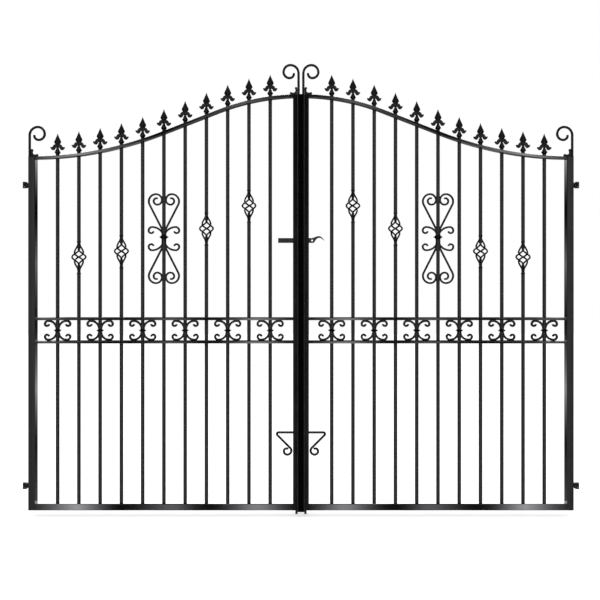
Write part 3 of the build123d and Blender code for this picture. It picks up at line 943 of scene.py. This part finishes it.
def studioWorld():
    world = bpy.data.worlds.new("studio")
    bpy.context.scene.world = world
    world.cycles.sampling_method = "NONE"  # so that the paint meets the strips by reflection alone
    world.use_nodes = True
    tree = world.node_tree
    tree.nodes.clear()
    direction = addNode(tree, "ShaderNodeTexCoord").outputs["Generated"]
    parts = addNode(tree, "ShaderNodeSeparateXYZ", {"Vector": direction}).outputs
    sideways = addNode(tree, "ShaderNodeMath", {0: parts["X"]}, operation="ABSOLUTE")
    forwards = addNode(tree, "ShaderNodeMath", {0: parts["Y"], 1: -1.0}, operation="MULTIPLY")
    around = addNode(
        tree, "ShaderNodeMath", {0: sideways.outputs[0], 1: forwards.outputs[0]}, operation="ARCTAN2"
    ).outputs[0]
    above = addNode(tree, "ShaderNodeMath", {0: parts["Z"]}, operation="ARCSINE").outputs[0]
    light = lightProfile(tree, around, studio["lowFront"])
    for name, (low, high) in studio["risesTo"].items():
        lift = addNode(
            tree, "ShaderNodeMapRange",
            {"Value": above, "From Min": radians(low), "From Max": radians(high)},
            interpolation_type="SMOOTHSTEP",
        )
        higher = lightProfile(tree, around, studio[name])
        light = addNode(
            tree, "ShaderNodeMix", {0: lift.outputs["Result"], 2: light, 3: higher}
        ).outputs[0]
    for name, reach in (("flankBands", "flankReach"), ("overhead", "overheadReach")):
        level = lightProfile(tree, above, studio[name])
        mask = lightProfile(tree, around, studio[reach], power=1.0)
        light = addNode(
            tree, "ShaderNodeMath", {0: level, 1: mask, 2: light}, operation="MULTIPLY_ADD"
        ).outputs[0]
    strength = addNode(
        tree, "ShaderNodeMath", {0: light, 1: studio["paintMirror"]}, operation="DIVIDE"
    )
    plain = (1.0, 1.0, 1.0, 1.0)
    mirrored = addNode(
        tree, "ShaderNodeBackground",
        {"Color": linearColour(studio["stripTint"]), "Strength": strength.outputs[0]},
    )
    ambient = addNode(
        tree, "ShaderNodeBackground", {"Color": plain, "Strength": studio["ambient"]}
    )
    white = addNode(tree, "ShaderNodeBackground", {"Color": plain, "Strength": 1.0})
    path = addNode(tree, "ShaderNodeLightPath").outputs
    lit = addNode(
        tree, "ShaderNodeMixShader",
        {0: path["Is Glossy Ray"], 1: ambient.outputs[0], 2: mirrored.outputs[0]},
    )
    seen = addNode(
        tree, "ShaderNodeMath", {0: path["Is Camera Ray"], 1: path["Is Transmission Ray"]},
        operation="MAXIMUM",
    )
    shown = addNode(
        tree, "ShaderNodeMixShader", {0: seen.outputs[0], 1: lit.outputs[0], 2: white.outputs[0]}
    )
    addNode(tree, "ShaderNodeOutputWorld", {"Surface": shown.outputs[0]})


# White floor that shows plain white to the camera, less the gate's shadow
def studioFloor():
    tips = min(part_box(f"{side}_drop_bolt")[0].z for side in hands)
    half = studio["floorSize"] / 2
    mesh = bpy.data.meshes.new("floor")
    mesh.from_pydata(
        [(midX - half, -half, tips), (midX + half, -half, tips), (midX + half, half, tips),
         (midX - half, half, tips)], [], [(0, 1, 2, 3)])
    floor = bpy.data.objects.new("floor", mesh)
    bpy.context.scene.collection.objects.link(floor)
    material = bpy.data.materials.new("pale_studio_floor")
    material.use_nodes = True
    tree = material.node_tree
    tree.nodes.clear()
    matt = addNode(
        tree, "ShaderNodeBsdfDiffuse", {"Color": linearColour(studio["floorColour"])}
    )
    glow = addNode(tree, "ShaderNodeEmission", {"Strength": studio["floorGlow"]})
    path = addNode(tree, "ShaderNodeLightPath").outputs
    dark = addNode(tree, "ShaderNodeEmission", {"Strength": 0.0})
    fill = addNode(
        tree, "ShaderNodeMixShader",
        {0: path["Is Camera Ray"], 1: dark.outputs[0], 2: glow.outputs[0]},
    )
    both = addNode(tree, "ShaderNodeAddShader", {0: matt.outputs[0], 1: fill.outputs[0]})
    addNode(tree, "ShaderNodeOutputMaterial", {"Surface": both.outputs[0]})
    mesh.materials.append(material)
    floor.visible_glossy = False  # the paint reflects the studio wrap down to its lower edge


# The photograph's viewpoint: level, square on, 3.4 m from the front faces
view = {
    "distance": 3.4, "height": 1168 * mm, "lens": 46.4, "sensor": 36, "shiftX": -0.0016,
    "shiftY": -0.0917,
}


def photoCamera():
    camera = bpy.data.cameras.new("camera")
    camera.lens = view["lens"]
    camera.sensor_width = view["sensor"]
    camera.shift_x = view["shiftX"]
    camera.shift_y = view["shiftY"]
    obj = bpy.data.objects.new("camera", camera)
    obj.location = (midX, -halfDepth - view["distance"], baseZ + view["height"])
    obj.rotation_euler = (pi / 2, 0, 0)
    bpy.context.scene.collection.objects.link(obj)
    bpy.context.scene.camera = obj


# One large soft lamp above and in front gives the floor its faint shadow
def softLamp():
    lamp = bpy.data.lights.new("overhead_softbox", "AREA")
    lamp.shape = "RECTANGLE"
    lamp.size, lamp.size_y = studio["lampWide"], studio["lampDeep"]
    lamp.energy = studio["lampPower"]
    obj = bpy.data.objects.new("overhead_softbox", lamp)
    obj.location = (midX, -studio["lampFront"], baseZ + studio["lampHeight"])
    obj.rotation_euler = (radians(studio["lampTilt"]), 0, 0)
    obj.visible_glossy = False
    bpy.context.scene.collection.objects.link(obj)


studioWorld()
studioFloor()
softLamp()
photoCamera()
bpy.context.scene.view_settings.view_transform = "Standard"
print("studio and camera set")
